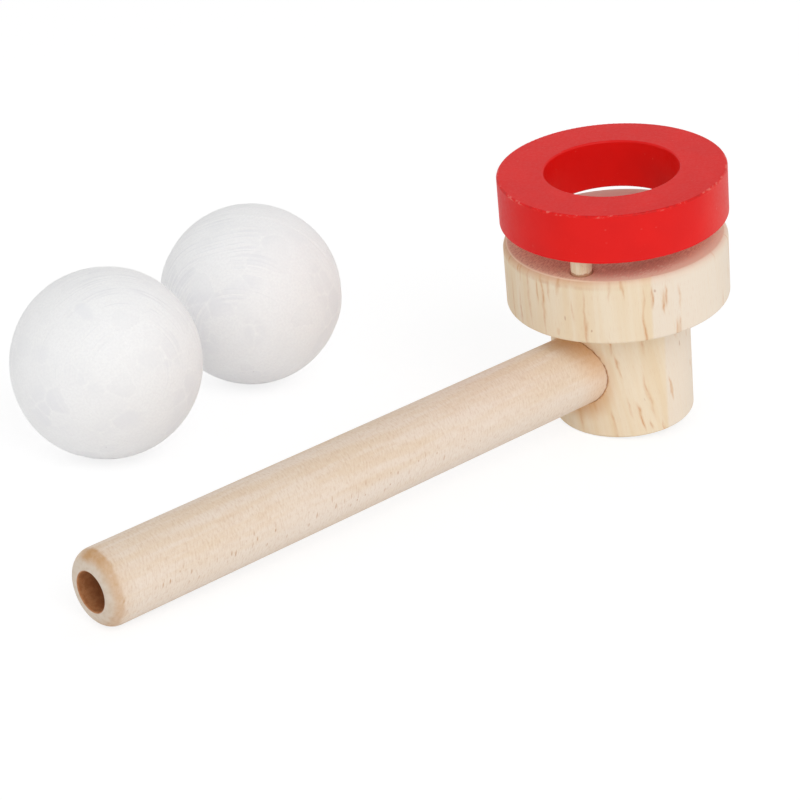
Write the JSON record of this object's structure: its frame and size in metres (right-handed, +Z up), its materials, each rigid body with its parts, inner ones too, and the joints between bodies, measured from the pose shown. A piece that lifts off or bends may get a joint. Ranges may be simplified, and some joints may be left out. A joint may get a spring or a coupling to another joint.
{
  "type": "floating ball pipe toy",
  "caption": "Wooden blow pipe toy: a bored dowel feeds a turned bowl's air jet, a red catch ring stands on pegs over it, and loose foam balls lie beside it.",
  "frame": {"origin": "on the table, under the middle of the bounding box of the toy and its balls", "axes": "+Z up from the table; the pipe points to -X and dips slightly to its mouth; the balls lie on the +Y side of the pipe; the toy leans on the edge of its pedestal and the rim of its mouthpiece, as it does when it is put down"},
  "size_m": [0.1564, 0.1084, 0.0574],
  "materials": {
    "pipe_wood": "matte",
    "head_wood": "matte",
    "ring_paint": "satin",
    "peg_wood": "matte",
    "foam": "matte"
  },
  "bodies": {
    "toy": {"blow_pipe": "pipe_wood", "turned_head": "head_wood", "catch_ring": "ring_paint", "ring_peg_1": "peg_wood", "ring_peg_2": "peg_wood", "ring_peg_3": "peg_wood"},
    "ball_1": {"foam_ball_1": "foam"},
    "ball_2": {"foam_ball_2": "foam"}
  },
  "joints": [
    {"name": "ball_1_lift", "type": "slide", "parent": "toy", "child": "ball_1", "axis": [0, 0, 1], "range_m": [0, 0.15]},
    {"name": "ball_2_float", "type": "slide", "parent": "toy", "child": "ball_2", "axis": [0.1778, -0.4539, 0.8731], "range_m": [0, 0.1467]}
  ]
}
